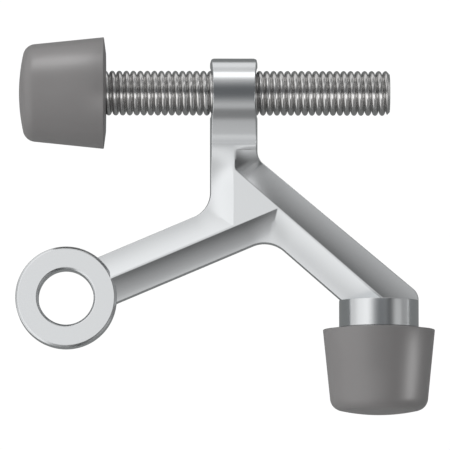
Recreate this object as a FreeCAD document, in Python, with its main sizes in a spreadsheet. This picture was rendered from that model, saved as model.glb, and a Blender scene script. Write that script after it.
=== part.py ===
"""Hinge pin door stop.

A die cast bracket hangs on the hinge pin by its flat ring. One arm carries a fixed rubber tip,
the other a strap with a threaded hole, and the rod in that hole carries the adjustable tip.
Millimetres, with the origin at the middle of the pin bore: +Z is the pin, +Y points up to the rod.
"""
import FreeCAD, Part
import math
import os
import Sketcher
from FreeCAD import Vector

doc = FreeCAD.newDocument("hinge_pin_door_stop")

# How far the space that a cut takes away reaches past the metal, the least length that counts, and
# the least flat that a round leaves beside it
OVERSHOOT = 1.5
NEAR = 0.01
LEAST_FLAT = 0.11

# Driving sizes, each with its alias in the sheet and what it measures
SIZES = (
    ("ring_outside", 18.0, "outside diameter of the ring round the hinge pin"),
    ("pin_bore", 9.8, "diameter of the bore for the hinge pin"),
    ("bore_chamfer", 0.36, "chamfer at both ends of the pin bore"),
    ("ring_edge_chamfer", 0.4, "chamfer on the outer edges of the ring"),
    ("ridge_thickness", 5.6, "thickness over the ring and over the ridges of the arms"),
    ("edge_thickness", 3.4, "thickness of the arms at their outer edges"),
    ("ridge_land", 0.24, "width of the land left along a ridge"),
    ("draft_angle", 5.0, "draft of the side walls from the parting plane, degrees"),
    ("strap_x", 29.79, "middle of the upright arm and of the strap"),
    ("strap_width", 8.46, "width of the upright arm and of the strap"),
    ("rod_y", 36.68, "height of the rod axis above the pin"),
    ("boss_diameter", 12.38, "outside diameter of the strap round the rod"),
    ("boss_blend", 7.0, "hollow radius from the strap to the face of the arm"),
    ("strap_corner_round", 1.07, "round of the top corners of the strap, seen along the pin"),
    ("flank_lead", 0.6, "start of the scooped flanks above the round of the outer corner"),
    ("flank_start_depth", 0.08, "depth of a flank where it begins"),
    ("flank_flatness", 2.0, "hollow radius of a flank over the one that leaves the edge level"),
    ("fork_y", 22.74, "height at which the upright ridge forks"),
    ("pin_arm_angle", 23.0, "slope of the arm to the ring, degrees"),
    ("pin_arm_width", 9.0, "width of the arm to the ring"),
    ("brace_angle", 41.1, "slope of the arm to the post, degrees"),
    ("brace_outer_hub", 4.4, "ridge to the outer edge of that arm at the fork"),
    ("brace_outer_post", 5.1, "ridge to the outer edge of that arm at the post"),
    ("brace_inner", 5.0, "ridge to the inner edge of that arm"),
    ("inner_round", 4.7, "corner between the upright arm and the arm to the ring"),
    ("arch_round", 5.2, "corner between the arm to the ring and the arm to the post"),
    ("outer_round", 2.9, "corner between the upright arm and the arm to the post"),
    ("shoulder_round", 2.6, "corner of the arm above the post"),
    ("post_x", 55.59, "distance of the post axis from the pin"),
    ("post_diameter", 14.16, "diameter of the post under the arm"),
    ("post_top_y", -0.4, "height of the top of the post"),
    ("post_edge_chamfer", 0.3, "chamfer on the top edge of the post"),
    ("fixed_tip_y", -5.57, "height of the rim of the fixed tip"),
    ("screw_tip_x", 6.66, "distance of the rim of the adjustable tip from the pin"),
    ("tip_diameter", 19.92, "diameter of a tip at its rim"),
    ("tip_length", 15.17, "length of a tip from its rim to its nose"),
    ("tip_taper", 5.77, "taper of the side of a tip, degrees"),
    ("tip_nose_round", 2.3, "round between the side and the nose of a tip"),
    ("tip_nose_dome", 32.0, "radius of the domed nose of a tip"),
    ("tip_rim_chamfer", 0.2, "chamfer on the rim of a tip"),
    ("tip_seat_height", 0.35, "height of the flat seat of a tip above its rim"),
    ("stem_diameter", 8.0, "diameter of the stem in the mouth of a tip"),
    ("stem_depth", 2.4, "depth to which the full stem enters a tip"),
    ("neck_diameter", 6.4, "diameter of the neck that the rubber grips"),
    ("neck_length", 3.8, "length of that neck"),
    ("head_diameter", 10.4, "diameter of the head that holds the tip on"),
    ("head_length", 2.4, "length of that head"),
    ("head_chamfer", 0.5, "chamfer on the front of the head"),
    ("socket_clearance", 0.06, "gap between the stem and the rubber all round"),
    ("rod_diameter", 8.0, "outside diameter of the threaded rod"),
    ("rod_end_x", 57.6, "distance of the free end of the rod from the pin"),
    ("rod_end_chamfer", 0.6, "chamfer on the free end of the rod"),
    ("rod_hole_clearance", 0.05, "gap between the rod and the hole in the strap all round"),
    ("rod_hole_chamfer", 0.4, "chamfer at both ends of the hole in the strap"),
)

sheet = doc.addObject("Spreadsheet::Sheet", "dims")
for row, (alias, value, meaning) in enumerate(SIZES, start=1):
    sheet.set(f"A{row}", meaning)
    sheet.set(f"B{row}", str(value))
    sheet.setAlias(f"B{row}", alias)
doc.recompute()

# Places worked out from the driving sizes, each with its formula
layout = doc.addObject("App::VarSet", "layout")


def derive(name, formula):
    """Keep a worked out length or angle under a name, bound to its formula."""
    layout.addProperty("App::PropertyFloat", name)
    layout.setExpression(name, formula)
    doc.recompute()


derive("half_thickness", "dims.ridge_thickness / 2")
derive("half_edge", "dims.edge_thickness / 2")
derive("half_land", "dims.ridge_land / 2")
derive("edge_inset", "layout.half_edge * tan(dims.draft_angle)")
derive("left_x", "dims.strap_x - dims.strap_width / 2")
derive("right_x", "dims.strap_x + dims.strap_width / 2")
derive("slope", "tan(dims.pin_arm_angle)")
derive("fall", "tan(dims.brace_angle)")
derive("brace_length", "(dims.fork_y - dims.post_top_y) / sin(dims.brace_angle)")
derive("brace_spread", "(dims.brace_outer_post - dims.brace_outer_hub) / layout.brace_length")
derive("outer_angle", "dims.brace_angle - atan(layout.brace_spread) / 1 deg")

# Edge lines of the arms as y = start + gradient * x, in the parting plane
derive("pin_arm_half", "dims.pin_arm_width / 2")
derive("pin_upper_start", "layout.pin_arm_half / cos(dims.pin_arm_angle)")
derive("ridge_start", "dims.fork_y + layout.fall * dims.strap_x")
derive("brace_inner_start", "layout.ridge_start - dims.brace_inner / cos(dims.brace_angle)")
derive("outer_x", "dims.strap_x + dims.brace_outer_hub * sin(dims.brace_angle)")
derive("outer_y", "dims.fork_y + dims.brace_outer_hub * cos(dims.brace_angle)")
derive("outer_fall", "tan(layout.outer_angle)")
derive("outer_start", "layout.outer_y + layout.outer_fall * layout.outer_x")

# Corners of the arms' outline
derive("inner_corner_y", "layout.pin_upper_start + layout.slope * layout.left_x")
derive("outer_corner_y", "layout.outer_start - layout.outer_fall * layout.right_x")
derive("arch_x", "(layout.brace_inner_start + layout.pin_upper_start) / (layout.slope + layout.fall)")
derive("arch_y", "layout.slope * layout.arch_x - layout.pin_upper_start")
derive("post_right_x", "dims.post_x + dims.post_diameter / 2")
derive("shoulder_y", "layout.outer_start - layout.outer_fall * layout.post_right_x")
derive("shoulder_wall", f"dims.shoulder_round * tan((90 - layout.outer_angle) / 2) + {LEAST_FLAT}")
derive("shoulder_foot_y", "min(dims.post_top_y; layout.shoulder_y - layout.shoulder_wall)")
derive("post_seat_y", "dims.fixed_tip_y + dims.tip_seat_height")
derive("arm_foot_y", "(dims.post_top_y + layout.post_seat_y) / 2")
derive("inner_foot_x", "(layout.brace_inner_start - layout.arm_foot_y) / layout.fall")

# The arm to the ring starts inside the ring, and its flanks run out there
derive("ring_chord", "sqrt((dims.ring_outside / 2) ^ 2 - layout.pin_arm_half ^ 2)")
derive("arm_root", "(dims.pin_bore / 2 + layout.ring_chord) / 2")
derive("flank_root", "(layout.arm_root + layout.ring_chord) / 2")

# Centres of the two corner rounds that the flanks follow
derive("inner_centre_x", "layout.left_x - dims.inner_round")
derive("inner_centre_y", "layout.slope * layout.inner_centre_x"
       " + (layout.pin_arm_half + dims.inner_round) / cos(dims.pin_arm_angle)")
derive("outer_centre_x", "layout.right_x + dims.outer_round")
derive("outer_centre_y", "layout.outer_start - layout.outer_fall * layout.outer_centre_x"
       " + dims.outer_round / cos(layout.outer_angle)")
derive("flank_start_y", "layout.outer_centre_y + dims.flank_lead")
derive("strap_foot_y", "layout.outer_centre_y + dims.flank_lead / 2")

# Lower corner of the flat between the ridges, where two flanks meet in a mitre
derive("mitre_x", "(layout.ridge_start - layout.half_land / cos(dims.brace_angle)"
       " + layout.half_land / cos(dims.pin_arm_angle)) / (layout.slope + layout.fall)")
derive("mitre_y", "layout.slope * layout.mitre_x - layout.half_land / cos(dims.pin_arm_angle)")
derive("mitre_width", "sqrt((layout.mitre_x - layout.arch_x) ^ 2 + (layout.mitre_y - layout.arch_y) ^ 2)")
derive("mitre_angle", "atan2(layout.mitre_y - layout.arch_y; layout.mitre_x - layout.arch_x) / 1 deg")

# Distance down the ridge of the brace at which its flanks end, below the foot of the arm
derive("run_out", "(dims.fork_y - layout.arm_foot_y + dims.post_diameter / 2) / sin(dims.brace_angle)")

# Hollow radius between the strap and the face of the arm
derive("boss_radius", "dims.boss_diameter / 2")
derive("strap_top_y", "dims.rod_y + layout.boss_radius")
derive("blend_rise", "layout.half_thickness + dims.boss_blend")
derive("blend_reach", "sqrt((layout.boss_radius + dims.boss_blend) ^ 2 - layout.blend_rise ^ 2)")
derive("blend_y", "dims.rod_y - layout.blend_reach")
derive("blend_share", "layout.boss_radius / (layout.boss_radius + dims.boss_blend)")

# Nose of a tip in its own frame: the middle of the dome, and that of the round which meets the side
derive("dome_x", "dims.tip_nose_dome - dims.tip_length")
derive("nose_inset", "(dims.tip_diameter / 2 + layout.dome_x * tan(dims.tip_taper)) * cos(dims.tip_taper)"
       " - dims.tip_nose_round")
derive("nose_run", "sqrt((dims.tip_nose_dome - dims.tip_nose_round) ^ 2 - layout.nose_inset ^ 2)")
derive("nose_x", "layout.dome_x - layout.nose_inset * sin(dims.tip_taper)"
       " - layout.nose_run * cos(dims.tip_taper)")
derive("nose_y", "layout.nose_inset * cos(dims.tip_taper) - layout.nose_run * sin(dims.tip_taper)")
derive("nose_share", "dims.tip_nose_dome / (dims.tip_nose_dome - dims.tip_nose_round)")

# The stem that both tips are pushed on, measured back from the seat of the tip
derive("stem_radius", "dims.stem_diameter / 2")
derive("neck_radius", "dims.neck_diameter / 2")
derive("head_radius", "dims.head_diameter / 2")
derive("neck_end", "dims.stem_depth + dims.neck_length")
derive("head_end", "layout.neck_end + dims.head_length")
derive("screw_seat_x", "dims.screw_tip_x + dims.tip_seat_height")
derive("rod_shoulder_x", "layout.screw_seat_x - dims.stem_depth + dims.socket_clearance")
derive("stem_shoulder_y", "layout.post_seat_y - dims.stem_depth")


def origin_plane(body, role):
    """The base plane or axis of a body that has the given role."""
    return [feature for feature in body.Origin.OriginFeatures if feature.Role == role][0]


def new_sketch(body, name, role="XY_Plane", offset=None):
    """A sketch on a base plane of its body, moved by an optional placement formula."""
    sketch = body.newObject("Sketcher::SketchObject", name)
    sketch.AttachmentSupport = [(origin_plane(body, role), "")]
    sketch.MapMode = "FlatFace"
    if offset:
        sketch.setExpression("AttachmentOffset", offset)
    return sketch


def bind(sketch, constraint, formula):
    """Add a dimension to a sketch and bind it to its formula."""
    index = sketch.addConstraint(constraint)
    sketch.setExpression(f"Constraints[{index}]", formula)


def profile(sketch, corners):
    """Draw a closed profile from (x, y) formulas; a third entry bulges the next side to an arc.

    A bulge is the formula of the arc's radius, positive where the arc's centre lies to the left
    of the way from this corner to the next one.
    """
    points = [Vector(*(float(sketch.evalExpression(formula)) for formula in corner[:2]), 0)
              for corner in corners]
    for index, corner in enumerate(corners):
        start = points[index]
        end = points[(index + 1) % len(points)]
        if len(corner) == 3:
            radius = float(sketch.evalExpression(corner[2]))
            chord = end - start
            left = Vector(-chord.y, chord.x, 0).normalize()
            reach = math.sqrt(radius ** 2 - chord.Length ** 2 / 4)
            centre = (start + end) / 2 + left * math.copysign(reach, radius)
            middle = centre - left * radius
            sketch.addGeometry(Part.Arc(start, middle, end))
        else:
            sketch.addGeometry(Part.LineSegment(start, end))
    for index, corner in enumerate(corners):
        arc = len(corner) == 3
        backwards = arc and float(sketch.evalExpression(corner[2])) < 0
        first = 2 if backwards else 1
        following = (index + 1) % len(corners)
        next_backwards = len(corners[following]) == 3 and \
            float(sketch.evalExpression(corners[following][2])) < 0
        sketch.addConstraint(Sketcher.Constraint(
            "Coincident", index, 3 - first, following, 2 if next_backwards else 1))
        bind(sketch, Sketcher.Constraint("DistanceX", -1, 1, index, first, points[index].x), corner[0])
        bind(sketch, Sketcher.Constraint("DistanceY", -1, 1, index, first, points[index].y), corner[1])
        if arc:
            size = abs(float(sketch.evalExpression(corner[2])))
            bind(sketch, Sketcher.Constraint("Radius", index, size), f"abs({corner[2]})")


def new_body(name):
    """A body whose label is its node name."""
    body = doc.addObject("PartDesign::Body", name)
    body.Label = name
    return body


def turned(body, name, corners, axis, kind="PartDesign::Revolution", offset=None, role="XY_Plane"):
    """Turn or groove a profile through a full circle about an axis of its sketch."""
    sketch = new_sketch(body, name + "_profile", role, offset)
    profile(sketch, corners)
    feature = body.newObject(kind, name)
    feature.Profile = sketch
    feature.ReferenceAxis = (sketch, [axis])
    feature.Angle = 360
    doc.recompute()
    return feature


# One moulding serves for both tips: a tapered rubber cup with an undercut socket.
# In its own frame the rim lies at x = 0 and the nose points along -X.
def make_tip(name, placement):
    """Make a rubber tip and put it on its stem."""
    body = new_body(name)
    gap = "dims.socket_clearance"
    turned(body, name + "_form", (
        ("dims.tip_seat_height", f"layout.stem_radius + {gap}"),
        ("dims.tip_seat_height - dims.stem_depth", f"layout.stem_radius + {gap}"),
        ("dims.tip_seat_height - dims.stem_depth", f"layout.neck_radius + {gap}"),
        (f"dims.tip_seat_height - layout.neck_end + {gap}", f"layout.neck_radius + {gap}"),
        (f"dims.tip_seat_height - layout.neck_end + {gap}", f"layout.head_radius + {gap}"),
        (f"dims.tip_seat_height - layout.head_end - {gap}", f"layout.head_radius + {gap}"),
        (f"dims.tip_seat_height - layout.head_end - {gap}", "0"),
        ("-dims.tip_length", "0", "-dims.tip_nose_dome"),
        ("layout.dome_x + layout.nose_share * (layout.nose_x - layout.dome_x)",
         "layout.nose_share * layout.nose_y", "-dims.tip_nose_round"),
        ("layout.nose_x - dims.tip_nose_round * sin(dims.tip_taper)",
         "layout.nose_y + dims.tip_nose_round * cos(dims.tip_taper)"),
        ("-dims.tip_rim_chamfer", "dims.tip_diameter / 2 - dims.tip_rim_chamfer * tan(dims.tip_taper)"),
        ("0", "dims.tip_diameter / 2 - dims.tip_rim_chamfer"),
        ("dims.tip_seat_height", "dims.post_diameter / 2"),
    ), "H_Axis")
    body.setExpression("Placement", placement)
    doc.recompute()
    return body


adjustable_tip = make_tip(
    "adjustable_tip", "create(<<placement>>; create(<<vector>>; dims.screw_tip_x; dims.rod_y; 0); "
    "create(<<rotation>>; 0; 0; 0))")
fixed_tip = make_tip(
    "fixed_tip", "create(<<placement>>; create(<<vector>>; dims.post_x; dims.fixed_tip_y; 0); "
    "create(<<rotation>>; 90; 0; 0))")


def stem_corners(seat, neck_back):
    """Half outline of the stem from its head to the back of its neck; the tip's seat is at x = seat."""
    return (
        (f"{seat} - layout.head_end", "0"),
        (f"{seat} - layout.head_end", "layout.head_radius - dims.head_chamfer"),
        (f"{seat} - layout.head_end + dims.head_chamfer", "layout.head_radius"),
        (f"{seat} - layout.neck_end", "layout.head_radius"),
        (f"{seat} - layout.neck_end", "layout.neck_radius"),
        (neck_back, "layout.neck_radius"),
    )


# The rod has a turned neck and head inside the adjustable tip.
# Its thread is finer than the drawing of its outline, so the shank has the outside diameter.
adjusting_rod = new_body("adjusting_rod")
turned(adjusting_rod, "rod_form", stem_corners("layout.screw_seat_x", "layout.rod_shoulder_x") + (
    ("layout.rod_shoulder_x", "dims.rod_diameter / 2"),
    ("dims.rod_end_x - dims.rod_end_chamfer", "dims.rod_diameter / 2"),
    ("dims.rod_end_x", "dims.rod_diameter / 2 - dims.rod_end_chamfer"),
    ("dims.rod_end_x", "0"),
), "H_Axis")
adjusting_rod.setExpression("Placement.Base.y", "dims.rod_y")

# The casting is made as its upper half on the parting plane z = 0, then mirrored.
cast_frame = new_body("cast_frame")

# Strap round the rod: a round back that runs down a hollow into the flat face of the arm.
strap_section = new_sketch(
    cast_frame, "strap_section", "YZ_Plane",
    "create(<<placement>>; create(<<vector>>; 0; 0; dims.strap_x); create(<<rotation>>; 0; 0; 0))")
profile(strap_section, (
    ("layout.strap_top_y", "0", "layout.boss_radius"),
    ("dims.rod_y - layout.blend_share * layout.blend_reach",
     "layout.blend_share * layout.blend_rise", "-dims.boss_blend"),
    ("layout.blend_y", "layout.half_thickness"),
    ("layout.strap_foot_y", "layout.half_thickness"),
    ("layout.strap_foot_y", "0"),
))
strap = cast_frame.newObject("PartDesign::Pad", "strap")
strap.Profile = strap_section
strap.SideType = "Symmetric"
strap.setExpression("Length", "dims.strap_width")
doc.recompute()
strap_sides = cast_frame.newObject("PartDesign::Draft", "strap_sides")
strap_sides.Base = (strap, [f"Face{index}" for index, face in enumerate(strap.Shape.Faces, start=1)
                            if face.BoundBox.XLength < NEAR])
strap_sides.NeutralPlane = (origin_plane(cast_frame, "XY_Plane"), [""])
strap_sides.Reversed = False
strap_sides.setExpression("Angle", "dims.draft_angle")
doc.recompute()
doc.recompute()  # a draft finds its neutral plane on the second pass
# The top corners of the strap are rounded off, as seen along the pin
for name, side, sense in (("strap_left_corner", "layout.left_x", "1"),
                          ("strap_right_corner", "layout.right_x", "-1")):
    corner_x = f"{side} + {sense} * dims.strap_corner_round"
    outside_x = f"{side} - {sense} * {OVERSHOOT}"
    corner_cut = new_sketch(cast_frame, name + "_cut")
    profile(corner_cut, (
        (side, "layout.strap_top_y - dims.strap_corner_round", f"-1 * {sense} * dims.strap_corner_round"),
        (corner_x, "layout.strap_top_y"),
        (corner_x, f"layout.strap_top_y + {OVERSHOOT}"),
        (outside_x, f"layout.strap_top_y + {OVERSHOOT}"),
        (outside_x, "layout.strap_top_y - dims.strap_corner_round"),
    ))
    strap_corner = cast_frame.newObject("PartDesign::Pocket", name)
    strap_corner.Profile = corner_cut
    strap_corner.Reversed = True
    strap_corner.setExpression("Length", "layout.boss_radius")
    doc.recompute()


def pin_arm_point(along, across):
    """A point beside the ridge of the arm to the ring, measured from the pin."""
    return (f"{along} * cos(dims.pin_arm_angle) - {across} * sin(dims.pin_arm_angle)",
            f"{along} * sin(dims.pin_arm_angle) + {across} * cos(dims.pin_arm_angle)")


def brace_point(along, across):
    """A point beside the ridge of the arm to the post, measured from the fork."""
    return (f"dims.strap_x + {along} * cos(dims.brace_angle) + {across} * sin(dims.brace_angle)",
            f"dims.fork_y - {along} * sin(dims.brace_angle) + {across} * cos(dims.brace_angle)")


# Outline of the three arms, padded with draft and with its corners rounded. The wall over the post
# reaches down to the top of the post, or as far as the round of the shoulder needs.
outline = new_sketch(cast_frame, "arm_outline")
profile(outline, (
    ("layout.left_x", "layout.flank_start_y"),
    ("layout.left_x", "layout.inner_corner_y"),
    pin_arm_point("layout.arm_root", "layout.pin_arm_half"),
    pin_arm_point("layout.arm_root", "-layout.pin_arm_half"),
    ("layout.arch_x", "layout.arch_y"),
    ("layout.inner_foot_x", "layout.arm_foot_y"),
    ("dims.post_x", "layout.arm_foot_y"),
    ("layout.post_right_x", "layout.shoulder_foot_y"),
    ("layout.post_right_x", "layout.shoulder_y"),
    ("layout.right_x", "layout.outer_corner_y"),
    ("layout.right_x", "layout.flank_start_y"),
))
arms = cast_frame.newObject("PartDesign::Pad", "arms")
arms.Profile = outline
arms.setExpression("Length", "layout.half_thickness")
arms.setExpression("TaperAngle", "-dims.draft_angle")
doc.recompute()


def rounded_corner(name, feature, x, y, formula):
    """Round the upright edge of the arms that starts at a corner of their outline."""
    foot = Vector(layout.evalExpression(x), layout.evalExpression(y), 0)
    upright = [f"Edge{index}" for index, edge in enumerate(feature.Shape.Edges, start=1)
               if edge.BoundBox.ZLength > NEAR
               and any(vertex.Point.distanceToPoint(foot) < NEAR for vertex in edge.Vertexes)]
    fillet = cast_frame.newObject("PartDesign::Fillet", name)
    fillet.Base = (feature, upright)
    fillet.setExpression("Radius", formula)
    doc.recompute()
    return fillet


corner = arms
for name, x, y, formula in (
        ("inner_corner", "layout.left_x", "layout.inner_corner_y", "dims.inner_round"),
        ("arch_corner", "layout.arch_x", "layout.arch_y", "dims.arch_round"),
        ("outer_corner", "layout.right_x", "layout.outer_corner_y", "dims.outer_round"),
        ("shoulder", "layout.post_right_x", "layout.shoulder_y", "dims.shoulder_round")):
    corner = rounded_corner(name, corner, x, y, formula)

# The flanks are scooped out between the outline and the ridges. A scoop is lofted through sections
# that stand across the arm, each a shallow hollow arc that is steepest at the ridge.
def flank_section(name, point, angle, width, low="layout.half_edge", inset="layout.edge_inset"):
    """Section of a scoop, from a point of the outline inwards along an angle to the ridge."""
    rise = f"(layout.half_thickness - ({low}))"
    run = f"({width} - {inset})"
    section = new_sketch(
        cast_frame, name, "XY_Plane",
        f"create(<<placement>>; create(<<vector>>; {point[0]}; {point[1]}; 0); "
        f"create(<<rotation>>; {angle}; 0; 90))")
    profile(section, (
        (f"-{OVERSHOOT}", low),
        (inset, low, f"dims.flank_flatness * ({run} ^ 2 + {rise} ^ 2) / (2 * {rise})"),
        (width, "layout.half_thickness"),
        (width, f"layout.half_thickness + {OVERSHOOT}"),
        (f"-{OVERSHOOT}", f"layout.half_thickness + {OVERSHOOT}"),
    ))
    return section


def scoop(name, *sections):
    """Cut the space lofted through two or more sections."""
    loft = cast_frame.newObject("PartDesign::SubtractiveLoft", name)
    loft.Profile = sections[0]
    loft.Sections = list(sections[1:])
    doc.recompute()
    return loft


def corner_sections(name, radius, sense, start, edge_turn, ridge_turn, far, lows):
    """Sections round an inner corner, standing radially from the centre of its round.

    The first stands across the upright arm and the last across the sloping one. The third reaches
    the point where the two ridges meet, so the ridges stay straight while the outline turns.
    """
    near = f"({radius} + dims.strap_width / 2 - layout.half_land)"
    meet = f"layout.{name}_meet"
    derive(f"{name}_far", f"{far} - layout.half_land")
    derive(f"{name}_meet",
           f"atan((layout.{name}_far / {near} - cos({ridge_turn})) / sin({ridge_turn})) / 1 deg")
    turns = ("0", f"{meet} / 2", meet, f"({meet} + {edge_turn}) / 2", edge_turn)
    sections = []
    for index, (turn, low) in enumerate(zip(turns, lows)):
        angle = f"({start} + {sense} * ({turn}))"
        if index < 3:
            reach = f"{near} / cos({turn})"
        else:
            reach = f"layout.{name}_far / cos({ridge_turn} - ({turn}))"
        point = (f"layout.{name}_centre_x + {radius} * cos({angle})",
                 f"layout.{name}_centre_y + {radius} * sin({angle})")
        width = f"({reach} - {radius})"
        sections.append(flank_section(f"{name}_section_{index}", point, angle, width, low))
    return sections


flank_start_low = "(layout.half_thickness - dims.flank_start_depth)"
upright_width = "(dims.strap_width / 2 - layout.half_land)"
pin_arm_flank = "(layout.pin_arm_half - layout.half_land)"

# Left flank: down the upright arm, round the inner corner and along to the ring
left_top = flank_section("left_top", ("layout.left_x", "layout.flank_start_y"), "0", upright_width,
                         flank_start_low)
left_full = flank_section("left_full", ("layout.left_x", "dims.fork_y"), "0", upright_width)
inner = corner_sections("inner", "dims.inner_round", "-1", "0", "(90 - dims.pin_arm_angle)",
                        "(90 - dims.pin_arm_angle)", "layout.pin_arm_half + dims.inner_round",
                        ["layout.half_edge"] * 5)
left_root = flank_section("left_root", pin_arm_point("layout.flank_root", "layout.pin_arm_half"),
                          "(dims.pin_arm_angle - 90)", pin_arm_flank)
scoop("left_start", left_top, left_full)
scoop("left_upright", left_full, inner[0])
scoop("left_corner_upper", *inner[:3])
scoop("left_corner_lower", *inner[2:])
scoop("left_arm", inner[4], left_root)

# Lower flank: from the ring to the mitre under the flat, then down to the post
lower_root = flank_section("lower_root", pin_arm_point("layout.flank_root", "-layout.pin_arm_half"),
                           "(dims.pin_arm_angle + 90)", pin_arm_flank)
mitre = flank_section("mitre", ("layout.arch_x", "layout.arch_y"), "layout.mitre_angle",
                      "layout.mitre_width",
                      inset=f"(layout.edge_inset * layout.mitre_width / {pin_arm_flank})")
lower_end = flank_section("lower_end", brace_point("layout.run_out", "-dims.brace_inner"),
                          "(90 - dims.brace_angle)", "(dims.brace_inner - layout.half_land)")
scoop("lower_arm", lower_root, mitre)
scoop("lower_brace", mitre, lower_end)

# Right flank: it deepens round the outer corner and runs down to the shoulder
outer_low = (f"({flank_start_low} - (layout.half_thickness - dims.flank_start_depth - layout.half_edge)"
             " * dims.flank_lead / (layout.flank_start_y - dims.fork_y))")
outer = corner_sections("outer", "dims.outer_round", "1", "180", "(90 - layout.outer_angle)",
                        "(90 - dims.brace_angle)",
                        "(layout.outer_centre_x - dims.strap_x) * sin(dims.brace_angle)"
                        " + (layout.outer_centre_y - dims.fork_y) * cos(dims.brace_angle)",
                        [outer_low, f"({outer_low} + layout.half_edge) / 2"] + ["layout.half_edge"] * 3)
right_top = flank_section("right_top", ("layout.right_x", "layout.flank_start_y"), "180", upright_width,
                          flank_start_low)
outer_reach = "(dims.brace_outer_hub + layout.brace_spread * layout.run_out)"
right_end = flank_section("right_end", brace_point("layout.run_out", outer_reach),
                          "(270 - dims.brace_angle)", f"({outer_reach} - layout.half_land)")
scoop("right_start", right_top, outer[0])
scoop("right_corner_upper", *outer[:3])
scoop("right_corner_lower", *outer[2:])
scoop("right_brace", outer[4], right_end)

# Both halves of the casting are alike
both_halves = cast_frame.newObject("PartDesign::Mirrored", "both_halves")
both_halves.TransformMode = "Whole shape"
both_halves.MirrorPlane = (origin_plane(cast_frame, "XY_Plane"), [""])
cast_frame.Tip = both_halves
doc.recompute()

# Ring round the hinge pin, with chamfered outer edges
turned(cast_frame, "ring", (
    ("dims.pin_bore / 4", "-layout.half_thickness"),
    ("dims.ring_outside / 2 - dims.ring_edge_chamfer", "-layout.half_thickness"),
    ("dims.ring_outside / 2", "dims.ring_edge_chamfer - layout.half_thickness"),
    ("dims.ring_outside / 2", "layout.half_thickness - dims.ring_edge_chamfer"),
    ("dims.ring_outside / 2 - dims.ring_edge_chamfer", "layout.half_thickness"),
    ("dims.pin_bore / 4", "layout.half_thickness"),
), "V_Axis", role="XZ_Plane")

# Post under the arm, and the stem below it that holds the fixed tip
turned(cast_frame, "post", stem_corners("layout.post_seat_y", "layout.stem_shoulder_y") + (
    ("layout.stem_shoulder_y", "layout.stem_radius"),
    ("layout.post_seat_y", "layout.stem_radius"),
    ("layout.post_seat_y", "dims.post_diameter / 2"),
    ("dims.post_top_y - dims.post_edge_chamfer", "dims.post_diameter / 2"),
    ("dims.post_top_y", "dims.post_diameter / 2 - dims.post_edge_chamfer"),
    ("dims.post_top_y", "0"),
), "H_Axis", offset="create(<<placement>>; create(<<vector>>; dims.post_x; 0; 0); "
    "create(<<rotation>>; 90; 0; 0))")


def bore(name, radius, low, high, chamfer, axis, role, offset=None):
    """Bore right through between two faces, chamfered at both ends."""
    wide = f"{radius} + {chamfer}"
    flip = axis == "V_Axis"
    corners = (
        (f"{low} - {OVERSHOOT}", "0"),
        (f"{low} - {OVERSHOOT}", wide),
        (low, wide),
        (f"{low} + {chamfer}", radius),
        (f"{high} - {chamfer}", radius),
        (high, wide),
        (f"{high} + {OVERSHOOT}", wide),
        (f"{high} + {OVERSHOOT}", "0"),
    )
    turned(cast_frame, name, [corner[::-1] if flip else corner for corner in corners], axis,
           "PartDesign::Groove", offset, role)


bore("pin_hole", "dims.pin_bore / 2", "-layout.half_thickness", "layout.half_thickness",
     "dims.bore_chamfer", "V_Axis", "XZ_Plane")
bore("rod_hole", "dims.rod_diameter / 2 + dims.rod_hole_clearance", "layout.left_x", "layout.right_x",
     "dims.rod_hole_chamfer", "H_Axis", "XY_Plane",
     "create(<<placement>>; create(<<vector>>; 0; dims.rod_y; 0); create(<<rotation>>; 0; 0; 0))")

# Nothing is written unless every object was built and every piece is one sound solid
doc.recompute()
for item in doc.Objects:
    if "Invalid" in item.State or "Error" in item.State:
        raise RuntimeError(f"{item.Name} was not built: {item.State}")

os.makedirs("parts", exist_ok=True)
for piece in (cast_frame, adjusting_rod, adjustable_tip, fixed_tip):
    if piece.Shape.isNull() or not piece.Shape.isValid() or len(piece.Shape.Solids) != 1:
        raise RuntimeError(f"{piece.Label} is not one sound solid")
    piece.Shape.exportStep(f"parts/{piece.Label}.step")
    print(piece.Label, round(piece.Shape.Volume, 1), "mm3")
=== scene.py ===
"""Hinge pin door stop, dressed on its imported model. Metres, in the same frame as the solids."""
import math

import bmesh
import bpy
from mathutils import Matrix, Vector


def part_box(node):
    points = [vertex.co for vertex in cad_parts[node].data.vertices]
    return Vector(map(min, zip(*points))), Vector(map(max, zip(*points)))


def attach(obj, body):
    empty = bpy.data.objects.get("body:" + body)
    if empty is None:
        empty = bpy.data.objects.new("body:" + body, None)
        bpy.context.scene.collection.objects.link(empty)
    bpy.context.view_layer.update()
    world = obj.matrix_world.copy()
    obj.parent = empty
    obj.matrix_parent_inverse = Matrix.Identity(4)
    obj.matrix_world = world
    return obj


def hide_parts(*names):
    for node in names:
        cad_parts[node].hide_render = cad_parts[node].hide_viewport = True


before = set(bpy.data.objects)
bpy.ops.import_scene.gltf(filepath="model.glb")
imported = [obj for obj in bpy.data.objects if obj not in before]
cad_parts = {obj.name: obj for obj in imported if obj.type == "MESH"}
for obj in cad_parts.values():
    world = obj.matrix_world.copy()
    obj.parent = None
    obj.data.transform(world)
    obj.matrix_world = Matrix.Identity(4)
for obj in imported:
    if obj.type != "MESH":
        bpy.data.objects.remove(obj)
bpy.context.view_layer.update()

MM = 0.001


# The bracket: a flat ring for the hinge pin, three scooped arms, the strap for the rod and the
# post for the fixed tip, all in one piece. It is die cast in zinc alloy, ground and polished on
# its faces, nickel plated and given a satin brush.
def linear(code, alpha=1.0):
    """An sRGB hex colour as the linear values that a shader takes."""
    parts = [int(code[i:i + 2], 16) / 255 for i in (1, 3, 5)]
    return tuple(p / 12.92 if p <= 0.04045 else ((p + 0.055) / 1.055) ** 2.4 for p in parts) + (alpha,)


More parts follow.
